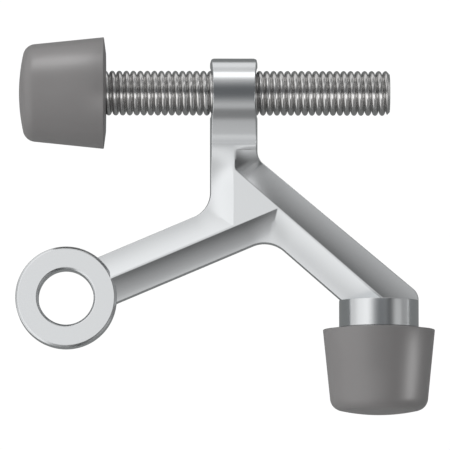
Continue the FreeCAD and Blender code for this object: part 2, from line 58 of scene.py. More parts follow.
def add_node(tree, kind, settings=None, **inputs):
    """A node with its settings, and its inputs as values or as sockets to link from."""
    node = tree.nodes.new(kind)
    for name, value in (settings or {}).items():
        setattr(node, name, value)
    for name, value in inputs.items():
        socket = node.inputs[int(name[1:])] if name[1:].isdigit() else node.inputs[name.replace("_", " ")]
        if isinstance(value, bpy.types.NodeSocket):
            tree.links.new(value, socket)
        else:
            socket.default_value = value
    return node


def new_material(name):
    """A node material, with its tree, its shader and the coordinates of its object."""
    material = bpy.data.materials.new(name)
    material.use_nodes = True
    tree = material.node_tree
    shader = tree.nodes["Principled BSDF"]
    place = add_node(tree, "ShaderNodeTexCoord").outputs["Object"]
    return material, tree, shader, place


def satin_nickel():
    """Nickel plate with a satin brush: neutral, soft reflections and a faint fine grain."""
    material, tree, shader, place = new_material("satin_nickel_plate")
    grit = 0.09 * MM
    grain = add_node(tree, "ShaderNodeTexNoise", Vector=place, Scale=1 / grit, Detail=2.0)
    cloud = add_node(tree, "ShaderNodeTexNoise", Vector=place, Scale=1 / (7 * MM), Detail=3.0)
    colour = add_node(tree, "ShaderNodeMix", {"data_type": "RGBA"}, Factor=cloud.outputs["Fac"],
                      _6=linear("#D3D5D7"), _7=linear("#D7D9DA"))
    tree.links.new(colour.outputs[2], shader.inputs["Base Color"])
    rough = add_node(tree, "ShaderNodeMapRange", Value=cloud.outputs["Fac"], To_Min=0.18, To_Max=0.23)
    tree.links.new(rough.outputs["Result"], shader.inputs["Roughness"])
    bump = add_node(tree, "ShaderNodeBump", Height=grain.outputs["Fac"], Strength=0.06, Distance=0.01 * MM)
    tree.links.new(bump.outputs["Normal"], shader.inputs["Normal"])
    shader.inputs["Metallic"].default_value = 1.0
    return material


def new_piece(name, mesh, material):
    """A smooth shaded object from a bmesh, with its place in its mesh."""
    data = bpy.data.meshes.new(name)
    mesh.to_mesh(data)
    mesh.free()
    data.shade_smooth()
    data.materials.append(material)
    piece = bpy.data.objects.new(name, data)
    bpy.context.collection.objects.link(piece)
    return piece


# Sizes of the casting in millimetres, as in its solid
ROD_Y_MM = 36.68
RING_RADIUS, BORE_RADIUS = 9.0, 4.9
RING_CHAMFER, BORE_CHAMFER = 0.4, 0.36
HALF_THICKNESS, HALF_EDGE, HALF_LAND = 2.8, 1.7, 0.12
DRAFT = math.tan(math.radians(5))
STRAP_X, STRAP_HALF = 29.79, 4.23
BOSS_RADIUS, HOLLOW_RADIUS, CORNER_RADIUS = 6.19, 7.0, 1.07
FORK_Y = 22.74
ARM_ANGLE, ARM_HALF = math.radians(23), 4.5
BRACE_ANGLE, BRACE_HUB, BRACE_POST, BRACE_INNER = math.radians(41.1), 4.4, 5.1, 5.0
INNER_ROUND, ARCH_ROUND, OUTER_ROUND, SHOULDER_ROUND = 4.7, 5.2, 2.9, 2.6
POST_X, POST_RADIUS, POST_TOP, SEAT_Y = 55.59, 7.08, -0.4, -5.22
HOLE_RADIUS, HOLE_CHAMFER = 4.05, 0.4
STEM_RADIUS, NECK_RADIUS, HEAD_RADIUS, HEAD_CHAMFER = 4.0, 3.2, 5.2, 0.5
STEM_DEPTH, NECK_END, HEAD_END = 2.4, 6.2, 8.6
EDGE_ROUND = 0.1
# The left flank starts this far above the outer corner, and both flanks with this depth
FLANK_LEAD, FLANK_START = 0.6, 0.005
# The slope of a flank at its ridge, against its mean slope
RIDGE_SHARE = 1.5
# Share of its depth that the right flank has where the outer corner starts and where it ends
CORNER_START, CORNER_END = 0.3, 0.75
# How far the strap runs out over the arms, how far they reach up into it, and how deep its end dips
STRAP_RUN, STRAP_LAP, STRAP_DIP = 0.5, 0.8, 0.3
# How deep the ends of the flanks sink into the strap and the ring, so that no faces coincide
SINK = 0.04
SECTION_STEPS = 10
SMALL = 0.001


def flat(x, y):
    """A point of the casting's plan."""
    return Vector((x, y, 0))


def arm_point(along, across):
    """A point beside the ridge of the arm to the ring, measured from the pin."""
    return Matrix.Rotation(ARM_ANGLE, 3, "Z") @ flat(along, across)


def brace_point(along, across):
    """A point beside the ridge of the arm to the post, measured from the fork."""
    return flat(STRAP_X, FORK_Y) + Matrix.Rotation(-BRACE_ANGLE, 3, "Z") @ flat(along, across)


def crossing(point, angle, other, other_angle):
    """Where two lines of the plan cross, each given by a point and an angle."""
    way = flat(math.cos(angle), math.sin(angle))
    other_way = flat(math.cos(other_angle), math.sin(other_angle))
    gap = other - point
    return point + way * (gap.cross(other_way).z / way.cross(other_way).z)


def section(mesh, foot, ridge, low=HALF_EDGE, high=HALF_THICKNESS, steep=0.0):
    """One section of a flank: up the side wall, then the hollow from the edge of the arm to its ridge.
    A wide section meets its ridge as steeply as asked, as far as its hollow then still rises."""
    across = ridge - foot
    width = across.length
    across.normalize()
    inset = low * DRAFT
    run, rise = width - inset, high - low
    chord = math.hypot(run, rise)
    mean = math.atan2(rise, run)
    last = max(RIDGE_SHARE * mean, min(steep, 2 * mean))
    first = 2 * mean - last
    radius = chord / (2 * math.sin((last - first) / 2))
    points = [foot]
    for index in range(SECTION_STEPS + 1):
        slope = first + (last - first) * index / SECTION_STEPS
        reach = inset + radius * (math.sin(slope) - math.sin(first))
        height = low + radius * (math.cos(first) - math.cos(slope))
        points.append(foot + across * reach + Vector((0, 0, height)))
    verts = [mesh.verts.new(point) for point in points]
    return [mesh.edges.new(pair) for pair in zip(verts, verts[1:])]


def strip(mesh, sections):
    """Skin a run of sections."""
    for near, far in zip(sections, sections[1:]):
        bmesh.ops.bridge_loops(mesh, edges=near + far)


def spread(start, end, steps):
    """Even steps from one value or point to another."""
    return [start + (end - start) * (index / steps) for index in range(steps + 1)]


def eased(start_low, share):
    """Height of the arm's edge where a flank deepens softly, at a share of the way."""
    return start_low + (HALF_EDGE - start_low) * share ** 2 * (3 - 2 * share)


def cut_off(mesh, point, outward):
    """Cut a closed shell with a plane and close it again."""
    bmesh.ops.bisect_plane(mesh, geom=mesh.verts[:] + mesh.edges[:] + mesh.faces[:], dist=SMALL,
                           plane_co=point, plane_no=outward, clear_outer=True)
    rim = [edge for edge in mesh.edges if edge.is_boundary]
    bmesh.ops.holes_fill(mesh, edges=rim)


def rounded_off(mesh, corner_centre, radius, start, end, steps):
    """Round a convex corner of the plan by cutting drafted planes along its arc, for both halves."""
    for turn in spread(math.radians(start), math.radians(end), steps)[:-1]:
        side = flat(math.cos(turn), math.sin(turn))
        for half in (1, -1):
            cut_off(mesh, corner_centre + side * radius, side + Vector((0, 0, DRAFT * half)))


# Places in the plan that follow from the sizes
blend_rise = HALF_THICKNESS + HOLLOW_RADIUS
blend_reach = math.sqrt((BOSS_RADIUS + HOLLOW_RADIUS) ** 2 - blend_rise ** 2)
left_x, right_x = STRAP_X - STRAP_HALF, STRAP_X + STRAP_HALF
brace_length = (FORK_Y - POST_TOP) / math.sin(BRACE_ANGLE)
outer_angle = BRACE_ANGLE - math.atan((BRACE_POST - BRACE_HUB) / brace_length)
outer_line, outer_side = brace_point(0, BRACE_HUB), flat(math.sin(outer_angle), math.cos(outer_angle))
fork, arm_way = flat(STRAP_X, FORK_Y), arm_point(1, 0)
brace_way = brace_point(1, 0) - fork
post_right = POST_X + POST_RADIUS
inner_centre = crossing(flat(left_x - INNER_ROUND, 0), math.pi / 2,
                        arm_point(0, ARM_HALF + INNER_ROUND), ARM_ANGLE)
outer_centre = crossing(flat(right_x + OUTER_ROUND, 0), math.pi / 2,
                        outer_line + outer_side * OUTER_ROUND, -outer_angle)
flank_y = outer_centre.y + FLANK_LEAD
arch = crossing(arm_point(0, -ARM_HALF), ARM_ANGLE, brace_point(0, -BRACE_INNER), -BRACE_ANGLE)
mitre = crossing(arm_point(0, -HALF_LAND), ARM_ANGLE, brace_point(0, -HALF_LAND), -BRACE_ANGLE)
foot_y = (POST_TOP + SEAT_Y) / 2
brace_end = (FORK_Y - foot_y + POST_RADIUS) / math.sin(BRACE_ANGLE)
ring_chord = math.sqrt(RING_RADIUS ** 2 - ARM_HALF ** 2)
arm_root = (BORE_RADIUS + ring_chord) / 2
ring_top = RING_RADIUS - RING_CHAMFER
strap_foot = ROD_Y_MM - blend_reach - STRAP_RUN
strap_root, strap_end = strap_foot + STRAP_LAP, strap_foot - 0.2
start_low = HALF_THICKNESS - FLANK_START


def corner(mesh, centre, radius, sense, start, edge_turn, ridge_turn, far, low_at, steep=0.0):
    """Sections that stand radially round an inner corner of the plan."""
    near = radius + STRAP_HALF - HALF_LAND
    meet = math.atan((far / near - math.cos(ridge_turn)) / math.sin(ridge_turn))
    sections = []
    for turn in spread(0, meet, 8) + spread(meet, edge_turn, 8)[1:]:
        angle = start + sense * turn
        side = flat(math.cos(angle), math.sin(angle))
        reach = near / math.cos(turn) if turn <= meet else far / math.cos(ridge_turn - turn)
        sections.append(section(mesh, centre + side * radius, centre + side * reach, low_at(turn / edge_turn),
                                steep=steep))
    return sections


# Left flank, from the strap round the inner corner to the ring
arms = bmesh.new()
sections = [section(arms, flat(left_x + SINK, strap_root), flat(STRAP_X - HALF_LAND, strap_root),
                    start_low - SINK, high=HALF_THICKNESS - SINK)]
sections += [section(arms, flat(left_x, y), flat(STRAP_X - HALF_LAND, y), eased(start_low, share))
             for y, share in zip(spread(flank_y, inner_centre.y, 16), spread(0.0, 1.0, 16))]
sections += corner(arms, inner_centre, INNER_ROUND, -1, 0, math.pi / 2 - ARM_ANGLE, math.pi / 2 - ARM_ANGLE,
                   ARM_HALF + INNER_ROUND - HALF_LAND, lambda share: HALF_EDGE)
sections += [section(arms, arm_point(along, ARM_HALF), arm_point(along, HALF_LAND))
             for along in spread(inner_centre.dot(arm_way), ring_top, 8)[1:]]
sections.append(section(arms, arm_point(arm_root, ARM_HALF), arm_point(arm_root, HALF_LAND),
                        high=HALF_THICKNESS - SINK))
strip(arms, sections)

# Lower flank, from the ring to the mitre over the arch and down to the post; the arch is rounded
opening = (math.pi - ARM_ANGLE - BRACE_ANGLE) / 2
arch_tangent = ARCH_ROUND / math.tan(opening)
arch_centre = crossing(arm_point(0, -ARM_HALF - ARCH_ROUND), ARM_ANGLE,
                       brace_point(0, -BRACE_INNER - ARCH_ROUND), -BRACE_ANGLE)
arm_at_arch, arm_at_mitre = arch.dot(arm_way), mitre.dot(arm_way)
brace_at_arch, brace_at_mitre = (arch - fork).dot(brace_way), (mitre - fork).dot(brace_way)
sections = [section(arms, arm_point(arm_root, -ARM_HALF), arm_point(arm_root, -HALF_LAND),
                    high=HALF_THICKNESS - SINK)]
sections += [section(arms, arm_point(along, -ARM_HALF), arm_point(along, -HALF_LAND))
             for along in spread(ring_top, arm_at_arch - arch_tangent, 8)]
arch_steps = 8
arm_turn, brace_turn = math.pi / 2 + ARM_ANGLE, math.pi / 2 - BRACE_ANGLE
middle_turn = (arm_turn + brace_turn) / 2
for share in spread(0.0, 1.0, arch_steps)[1:]:
    angle = arm_turn + (middle_turn - arm_turn) * share
    outside = arch_centre + flat(math.cos(angle), math.sin(angle)) * ARCH_ROUND
    along = arm_at_arch - arch_tangent * (1 - share)
    ridge_along = along + (arm_at_mitre - arm_at_arch) * share
    sections.append(section(arms, outside, arm_point(ridge_along, -HALF_LAND)))
strip(arms, sections)
sections = []
for share in spread(0.0, 1.0, arch_steps):
    angle = middle_turn + (brace_turn - middle_turn) * share
    outside = arch_centre + flat(math.cos(angle), math.sin(angle)) * ARCH_ROUND
    along = brace_at_arch + arch_tangent * share
    ridge_along = along + (brace_at_mitre - brace_at_arch) * (1 - share)
    sections.append(section(arms, outside, brace_point(ridge_along, -HALF_LAND)))
sections += [section(arms, brace_point(along, -BRACE_INNER), brace_point(along, -HALF_LAND))
             for along in spread(brace_at_arch + arch_tangent, brace_end, 8)[1:]]
strip(arms, sections)

# Right flank, from the strap round the outer corner and down to the shoulder
far = (outer_centre - fork).dot(flat(math.sin(BRACE_ANGLE), math.cos(BRACE_ANGLE))) - HALF_LAND
ridge_slope = RIDGE_SHARE * math.atan2(HALF_THICKNESS - HALF_EDGE, BRACE_POST - HALF_LAND)
sections = [section(arms, flat(right_x - SINK, strap_root), flat(STRAP_X + HALF_LAND, strap_root),
                    start_low - SINK, high=HALF_THICKNESS - SINK)]
sections += [section(arms, flat(right_x, y), flat(STRAP_X + HALF_LAND, y), eased(start_low, share))
             for y, share in zip(spread(strap_end, outer_centre.y, 8)[:-1], spread(0.0, CORNER_START, 8))]
sections += corner(arms, outer_centre, OUTER_ROUND, 1, math.pi, math.pi / 2 - outer_angle, brace_turn, far,
                   lambda share: eased(start_low, CORNER_START + (CORNER_END - CORNER_START) * share),
                   steep=ridge_slope)
outer_along = (outer_centre - outer_side * OUTER_ROUND - fork).dot(brace_way)
ridge_along = (outer_centre - outer_side * far / math.cos(outer_angle - BRACE_ANGLE) - fork).dot(brace_way)
for share in spread(0.0, 1.0, 24)[1:]:
    along = outer_along + (brace_end - outer_along) * share
    sections.append(section(
        arms, brace_point(along, BRACE_HUB + (BRACE_POST - BRACE_HUB) * along / brace_length),
        brace_point(ridge_along + (brace_end - ridge_along) * share, HALF_LAND),
        eased(start_low, min(1.0, CORNER_END + 1.5 * share)), steep=ridge_slope))
strip(arms, sections)
bmesh.ops.remove_doubles(arms, verts=arms.verts, dist=SMALL)
bmesh.ops.dissolve_degenerate(arms, edges=arms.edges, dist=SMALL)


# The flat between the ridges closes the top, and the other half mirrors this one
def vert_at(mesh, point):
    """The vertex nearest to a point."""
    return min(mesh.verts, key=lambda vert: (vert.co - point).length_squared)


def on_ridge(edge):
    """Whether an open edge of this half lies at the height of the ridges, below their upper ends."""
    lowest = min(vert.co.z for vert in edge.verts)
    nearest = min(vert.co.y for vert in edge.verts)
    return edge.is_boundary and lowest > HALF_THICKNESS - SINK - SMALL and nearest < strap_root - SMALL


top = Vector((0, 0, HALF_THICKNESS))
closing = []
for first, second in ((flat(STRAP_X - HALF_LAND, strap_root), flat(STRAP_X + HALF_LAND, strap_root)),
                      (arm_point(arm_root, HALF_LAND), arm_point(arm_root, -HALF_LAND)),
                      (brace_point(brace_end, HALF_LAND), brace_point(brace_end, -HALF_LAND))):
    closing.append(arms.edges.new((vert_at(arms, first + top), vert_at(arms, second + top))))
ridges = closing + [edge for edge in arms.edges if on_ridge(edge)]
bmesh.ops.triangle_fill(arms, edges=ridges, use_beauty=True, normal=(0, 0, 1))
bmesh.ops.mirror(arms, geom=arms.verts[:] + arms.edges[:] + arms.faces[:], axis="Z", merge_dist=SMALL)
bmesh.ops.holes_fill(arms, edges=[edge for edge in arms.edges if edge.is_boundary])
bmesh.ops.recalc_face_normals(arms, faces=arms.faces)
cut_off(arms, flat(0, foot_y), flat(0, -1))
cut_off(arms, flat(post_right, POST_TOP), flat(POST_TOP - foot_y, -POST_RADIUS))
shoulder_centre = crossing(flat(post_right - SHOULDER_ROUND, 0), math.pi / 2,
                           outer_line - outer_side * SHOULDER_ROUND, -outer_angle)
rounded_off(arms, shoulder_centre, SHOULDER_ROUND, 0, 90 - math.degrees(outer_angle), 9)

# The strap: its profile across the rod, drawn out over its width and closed by its drafted sides
strap = bmesh.new()
turn_in = math.atan2(blend_rise, -blend_reach)
outline = [(ROD_Y_MM + BOSS_RADIUS * math.cos(turn), BOSS_RADIUS * math.sin(turn))
           for turn in spread(0, turn_in, 48)]
outline += [(ROD_Y_MM - blend_reach + HOLLOW_RADIUS * math.cos(turn),
             blend_rise + HOLLOW_RADIUS * math.sin(turn))
            for turn in spread(turn_in - math.pi, -math.pi / 2, 24)[1:]]
outline += [(strap_foot, HALF_THICKNESS), (strap_foot - 0.1, HALF_THICKNESS - STRAP_DIP),
            (strap_end, HALF_THICKNESS - STRAP_DIP), (strap_end, 0.0)]
outline += [(ROD_Y_MM - HOLE_RADIUS * math.cos(turn), HOLE_RADIUS * math.sin(turn))
            for turn in spread(0, math.pi, 48)]
verts = [strap.verts.new((left_x + z * DRAFT, y, z)) for y, z in outline]
face = strap.faces.new(verts)
made = bmesh.ops.extrude_face_region(strap, geom=[face], use_keep_orig=True)
for vert in made["geom"]:
    if isinstance(vert, bmesh.types.BMVert):
        vert.co.x = right_x - vert.co.z * DRAFT
bottom = [face for face in strap.faces if all(abs(vert.co.z) < SMALL for vert in face.verts)]
bmesh.ops.delete(strap, geom=bottom, context="FACES_ONLY")
bmesh.ops.mirror(strap, geom=strap.verts[:] + strap.edges[:] + strap.faces[:], axis="Z", merge_dist=SMALL)
bmesh.ops.recalc_face_normals(strap, faces=strap.faces)
strap_top = ROD_Y_MM + BOSS_RADIUS
for centre_x, start, end in ((left_x + CORNER_RADIUS, 90, 180), (right_x - CORNER_RADIUS, 90, 0)):
    for turn in spread(start, end, 10)[1:-1]:
        side = flat(math.cos(math.radians(turn)), math.sin(math.radians(turn)))
        cut_off(strap, flat(centre_x, strap_top - CORNER_RADIUS) + side * CORNER_RADIUS, side)

# Both rims of the strap's hole are bevelled
rims = [edge for edge in strap.edges if all(
    abs(math.hypot(vert.co.y - ROD_Y_MM, vert.co.z) - HOLE_RADIUS) < SMALL for vert in edge.verts)
    and abs(edge.verts[0].co.x - edge.verts[1].co.x) < STRAP_HALF]
bmesh.ops.bevel(strap, geom=rims, offset=HOLE_CHAMFER, segments=1, profile=0.5, affect="EDGES", material=-1)


def spun(points, closed=True, steps=96):
    """A turned shell about the X axis, from the X and the radius of its points."""
    shell = bmesh.new()
    verts = [shell.verts.new((x, radius, 0)) for x, radius in points]
    rails = [shell.edges.new(pair) for pair in zip(verts, verts[1:])]
    if closed:
        rails.append(shell.edges.new((verts[-1], verts[0])))
    bmesh.ops.spin(shell, geom=verts + rails, cent=(0, 0, 0), axis=(1, 0, 0), angle=math.tau, steps=steps,
                   use_merge=True)
    bmesh.ops.remove_doubles(shell, verts=shell.verts, dist=SMALL)
    bmesh.ops.recalc_face_normals(shell, faces=shell.faces)
    return shell


# The ring about the pin, and the post with the stem, the neck and the head that hold its tip
ring = spun([(-HALF_THICKNESS, BORE_RADIUS + BORE_CHAMFER), (-HALF_THICKNESS, ring_top),
             (RING_CHAMFER - HALF_THICKNESS, RING_RADIUS), (HALF_THICKNESS - RING_CHAMFER, RING_RADIUS),
             (HALF_THICKNESS, ring_top), (HALF_THICKNESS, BORE_RADIUS + BORE_CHAMFER),
             (HALF_THICKNESS - BORE_CHAMFER, BORE_RADIUS), (BORE_CHAMFER - HALF_THICKNESS, BORE_RADIUS)])
post = spun([(SEAT_Y - HEAD_END, 0), (SEAT_Y - HEAD_END, HEAD_RADIUS - HEAD_CHAMFER),
             (SEAT_Y - HEAD_END + HEAD_CHAMFER, HEAD_RADIUS), (SEAT_Y - NECK_END, HEAD_RADIUS),
             (SEAT_Y - NECK_END, NECK_RADIUS), (SEAT_Y - STEM_DEPTH, NECK_RADIUS),
             (SEAT_Y - STEM_DEPTH, STEM_RADIUS), (SEAT_Y, STEM_RADIUS), (SEAT_Y, POST_RADIUS),
             (POST_TOP, POST_RADIUS), (POST_TOP, 0)],
            closed=False)

# The four closed shells make one object
solid = bmesh.new()
for shell, place in ((arms, Matrix()), (strap, Matrix()), (ring, Matrix.Rotation(-math.pi / 2, 4, "Y")),
                     (post, Matrix.Translation((POST_X, 0, 0)) @ Matrix.Rotation(math.pi / 2, 4, "Z"))):
    bmesh.ops.transform(shell, matrix=Matrix.Scale(MM, 4) @ place, verts=shell.verts)
    part = bpy.data.meshes.new("part")
    shell.to_mesh(part)
    shell.free()
    solid.from_mesh(part)
    bpy.data.meshes.remove(part)

casting = new_piece("nickel_casting", solid, satin_nickel())
edges = casting.modifiers.new("eased_edges", "BEVEL")
edges.width = EDGE_ROUND * MM
edges.segments = 3
edges.limit_method = "ANGLE"
edges.angle_limit = math.radians(13)
edges.use_clamp_overlap = False
edges.harden_normals = True
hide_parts("cast_frame")
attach(casting, "frame")


# The adjusting rod: an M8 steel rod with a rolled coarse right-hand thread. Its end that enters
# the tip is turned down to a neck with a round head. It is plated, a little darker than the
# casting, and screws through the strap.
def plated_steel():
    """Zinc plated steel, rolled: a faint random cloud of slightly varying tone and roughness."""
    material, tree, shader, place = new_material("zinc_plated_steel")
    cloud = add_node(tree, "ShaderNodeTexNoise", Vector=place, Scale=1 / (2.5 * MM), Detail=3.0)
    colour = add_node(tree, "ShaderNodeMix", {"data_type": "RGBA"}, Factor=cloud.outputs["Fac"],
                      _6=linear("#C2C1C0"), _7=linear("#CCCBCA"))
    tree.links.new(colour.outputs[2], shader.inputs["Base Color"])
    rough = add_node(tree, "ShaderNodeMapRange", Value=cloud.outputs["Fac"], To_Min=0.2, To_Max=0.28)
    tree.links.new(rough.outputs["Result"], shader.inputs["Roughness"])
    shader.inputs["Metallic"].default_value = 1.0
    return material


WELD = 0.0005 * MM
PITCH = 1.25 * MM
CREST_RADIUS, ROOT_RADIUS = 4.0 * MM, 3.2 * MM
CREST_SHARE = 0.92  # the crests are round, as half an ellipse, and the rest is a narrow flat root
TURN_STEPS, PROFILE_STEPS = 40, 16
TURNS = 46
LAST_CREST = 56.85 * MM  # where a crest stands at the top of the rod in the photograph
START = LAST_CREST - 43 * PITCH - PITCH / 2
# Where the thread ends inside the tip, and the neck at the head
SHOULDER, NECK_LOW = 4.67 * MM, 0.81 * MM
END_CHAMFER = 0.6 * MM
rod_low, rod_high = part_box("adjusting_rod")
thread = bmesh.new()
profile = []
for share in spread(0.0, 1.0, PROFILE_STEPS):
    beside = min(1.0, abs(2 * share - 1) / CREST_SHARE)
    lift = math.sqrt(1 - beside ** 2)
    radius = ROOT_RADIUS + (CREST_RADIUS - ROOT_RADIUS) * lift
    profile.append(thread.verts.new((START + share * PITCH, radius, 0)))
rails = [thread.edges.new(pair) for pair in zip(profile, profile[1:])]
bmesh.ops.spin(thread, geom=profile + rails, cent=(0, 0, 0), axis=(1, 0, 0), angle=math.tau * TURNS,
               steps=TURN_STEPS * TURNS, dvec=(PITCH / TURN_STEPS, 0, 0))
bmesh.ops.remove_doubles(thread, verts=thread.verts, dist=WELD)
for cut, side in ((SHOULDER, -1), (rod_high[0], 1)):
    bmesh.ops.bisect_plane(thread, geom=thread.verts[:] + thread.edges[:] + thread.faces[:],
                           plane_co=(cut, 0, 0), plane_no=(side, 0, 0), clear_outer=True)
for vert in thread.verts:
    limit = CREST_RADIUS - max(0.0, vert.co.x - (rod_high[0] - END_CHAMFER))
    radius = math.hypot(vert.co.y, vert.co.z)
    if radius > limit:
        vert.co.y *= limit / radius
        vert.co.z *= limit / radius
bmesh.ops.holes_fill(thread, edges=[edge for edge in thread.edges if edge.is_boundary])
head = [thread.verts.new((x, radius * MM, 0)) for x, radius in (
    (rod_low[0], 0), (rod_low[0], HEAD_RADIUS - HEAD_CHAMFER), (rod_low[0] + HEAD_CHAMFER * MM, HEAD_RADIUS),
    (NECK_LOW, HEAD_RADIUS), (NECK_LOW, NECK_RADIUS), (SHOULDER + PITCH, NECK_RADIUS), (SHOULDER + PITCH, 0))]
rails = [thread.edges.new(pair) for pair in zip(head, head[1:])]
bmesh.ops.spin(thread, geom=head + rails, cent=(0, 0, 0), axis=(1, 0, 0), angle=math.tau, steps=48,
               use_merge=True)
bmesh.ops.remove_doubles(thread, verts=thread.verts, dist=WELD)
bmesh.ops.recalc_face_normals(thread, faces=thread.faces)
bmesh.ops.translate(thread, verts=thread.verts, vec=(0, ROD_Y_MM * MM, 0))
rod = new_piece("threaded_rod", thread, plated_steel())
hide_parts("adjusting_rod")
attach(rod, "rod")


# The two tips: tapered cups of grey rubber with a domed nose, from one mould. Each is pushed over
# a head and held by its undercut socket.
def grey_rubber():
    """Moulded rubber: an even mid grey with a dull sheen and the fine texture of the mould."""
    material, tree, shader, place = new_material("moulded_grey_rubber")
    texture = 0.16 * MM
    grain = add_node(tree, "ShaderNodeTexNoise", Vector=place, Scale=1 / texture, Detail=3.0)
    cloud = add_node(tree, "ShaderNodeTexNoise", Vector=place, Scale=1 / (5 * MM), Detail=3.0)
    colour = add_node(tree, "ShaderNodeMix", {"data_type": "RGBA"}, Factor=cloud.outputs["Fac"],
                      _6=linear("#848282"), _7=linear("#898787"))
    tree.links.new(colour.outputs[2], shader.inputs["Base Color"])
    rough = add_node(tree, "ShaderNodeMapRange", Value=cloud.outputs["Fac"], To_Min=0.38, To_Max=0.45)
    tree.links.new(rough.outputs["Result"], shader.inputs["Roughness"])
    bump = add_node(tree, "ShaderNodeBump", Height=grain.outputs["Fac"], Strength=0.12, Distance=0.02 * MM)
    tree.links.new(bump.outputs["Normal"], shader.inputs["Normal"])
    return material


# Sizes of a tip in millimetres; its base is a little raised inside the rim, and its socket clears
# the stem, the neck and the head all round
TIP_LENGTH, TAPER = 15.17, math.radians(5.77)
RIM_RADIUS, RIM_ROUND = 9.96, 0.15
DOME_RADIUS, NOSE_ROUND = 32.0, 2.3
BASE_RADIUS, BASE_RISE = 7.0, 0.35
CLEARANCE = 0.06


def arc(centre, radius, start, end, steps):
    """Points of an arc in the plane of the profile, with angles in degrees."""
    turns = [math.radians(start + (end - start) * index / steps) for index in range(steps + 1)]
    return [(centre[0] + radius * math.cos(turn), centre[1] + radius * math.sin(turn)) for turn in turns]


def tip_outline():
    """Half section of a tip in millimetres: rim at 0, nose along -X, closed at the socket's bottom."""
    dome_x = DOME_RADIUS - TIP_LENGTH
    inset = (RIM_RADIUS + dome_x * math.tan(TAPER)) * math.cos(TAPER) - NOSE_ROUND
    run = math.sqrt((DOME_RADIUS - NOSE_ROUND) ** 2 - inset ** 2)
    nose = (dome_x - inset * math.sin(TAPER) - run * math.cos(TAPER),
            inset * math.cos(TAPER) - run * math.sin(TAPER))
    meet = 180 - math.degrees(math.asin(nose[1] / (DOME_RADIUS - NOSE_ROUND)))
    side = 90 + math.degrees(TAPER)
    rim = (-RIM_ROUND * 1.1, RIM_RADIUS - RIM_ROUND * 1.06)
    stem_end, head_low = BASE_RISE - STEM_DEPTH, BASE_RISE - NECK_END + CLEARANCE
    head_end = BASE_RISE - HEAD_END - CLEARANCE
    socket = [(BASE_RISE, BASE_RADIUS), (BASE_RISE, STEM_RADIUS + CLEARANCE),
              (stem_end, STEM_RADIUS + CLEARANCE), (stem_end, NECK_RADIUS + CLEARANCE),
              (head_low, NECK_RADIUS + CLEARANCE), (head_low, HEAD_RADIUS + CLEARANCE),
              (head_end, HEAD_RADIUS + CLEARANCE), (head_end, 0.0)]
    halfway = -7.0
    return (arc((dome_x, 0), DOME_RADIUS, 180, meet, 10) + arc(nose, NOSE_ROUND, meet, side, 12)[1:]
            + [(halfway, RIM_RADIUS + halfway * math.tan(TAPER))]
            + arc(rim, RIM_ROUND, side, 0, 6) + socket)


rubber = grey_rubber()
ROD_SEAT_X = 7.01
tips = []
for name, node, body, seat, turn in (
        ("adjustable_rubber_tip", "adjustable_tip", "tip", (ROD_SEAT_X - BASE_RISE, ROD_Y_MM, 0), 0),
        ("fixed_rubber_tip", "fixed_tip", "frame", (POST_X, SEAT_Y - BASE_RISE, 0), 90)):
    moulding = bmesh.new()
    points = [moulding.verts.new((x, radius, 0)) for x, radius in tip_outline()]
    rails = [moulding.edges.new(pair) for pair in zip(points, points[1:])]
    bmesh.ops.spin(moulding, geom=points + rails, cent=(0, 0, 0), axis=(1, 0, 0), angle=math.tau, steps=96,
                   use_merge=True)
    bmesh.ops.remove_doubles(moulding, verts=moulding.verts, dist=SMALL)
    bmesh.ops.recalc_face_normals(moulding, faces=moulding.faces)
    place = Matrix.Scale(MM, 4) @ Matrix.Translation(seat) @ Matrix.Rotation(math.radians(turn), 4, "Z")
    bmesh.ops.transform(moulding, matrix=place, verts=moulding.verts)
    tip = new_piece(name, moulding, rubber)
    tips.append(tip)
    tip.data.set_sharp_from_angle(angle=math.radians(35))
    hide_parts(node)
    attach(tip, body)


# The studio floor, far below the stop: a white sheet with a soft faint shadow. It glows a little in
# the camera's eyes and in reflections, and is plain paper to all other light.
FLOOR_HEIGHT = -150 * MM
sheet = bmesh.new()
bmesh.ops.create_grid(sheet, x_segments=1, y_segments=1, size=60.0,
                      matrix=Matrix.Translation((0, 0, FLOOR_HEIGHT)))
white = bpy.data.materials.new("white_floor")
white.use_nodes = True
tree = white.node_tree
tree.nodes.clear()
rays = add_node(tree, "ShaderNodeLightPath")
seen = add_node(tree, "ShaderNodeMath", {"operation": "MAXIMUM"}, _0=rays.outputs["Is Camera Ray"],
                _1=rays.outputs["Is Glossy Ray"])
seen = add_node(tree, "ShaderNodeMath", {"operation": "MAXIMUM"}, _0=seen.outputs[0],
                _1=rays.outputs["Is Transmission Ray"])
paper = add_node(tree, "ShaderNodeBsdfDiffuse", Color=linear("#F0F0F0"))
glow = add_node(tree, "ShaderNodeEmission", Color=linear("#FFFFFF"), Strength=1.1)
faint = add_node(tree, "ShaderNodeMixShader", Fac=0.85)
tree.links.new(paper.outputs[0], faint.inputs[1])
tree.links.new(glow.outputs[0], faint.inputs[2])
choice = add_node(tree, "ShaderNodeMixShader", Fac=seen.outputs[0])
tree.links.new(paper.outputs[0], choice.inputs[1])
tree.links.new(faint.outputs[0], choice.inputs[2])
add_node(tree, "ShaderNodeOutputMaterial", Surface=choice.outputs[0])
floor = new_piece("floor", sheet, white)

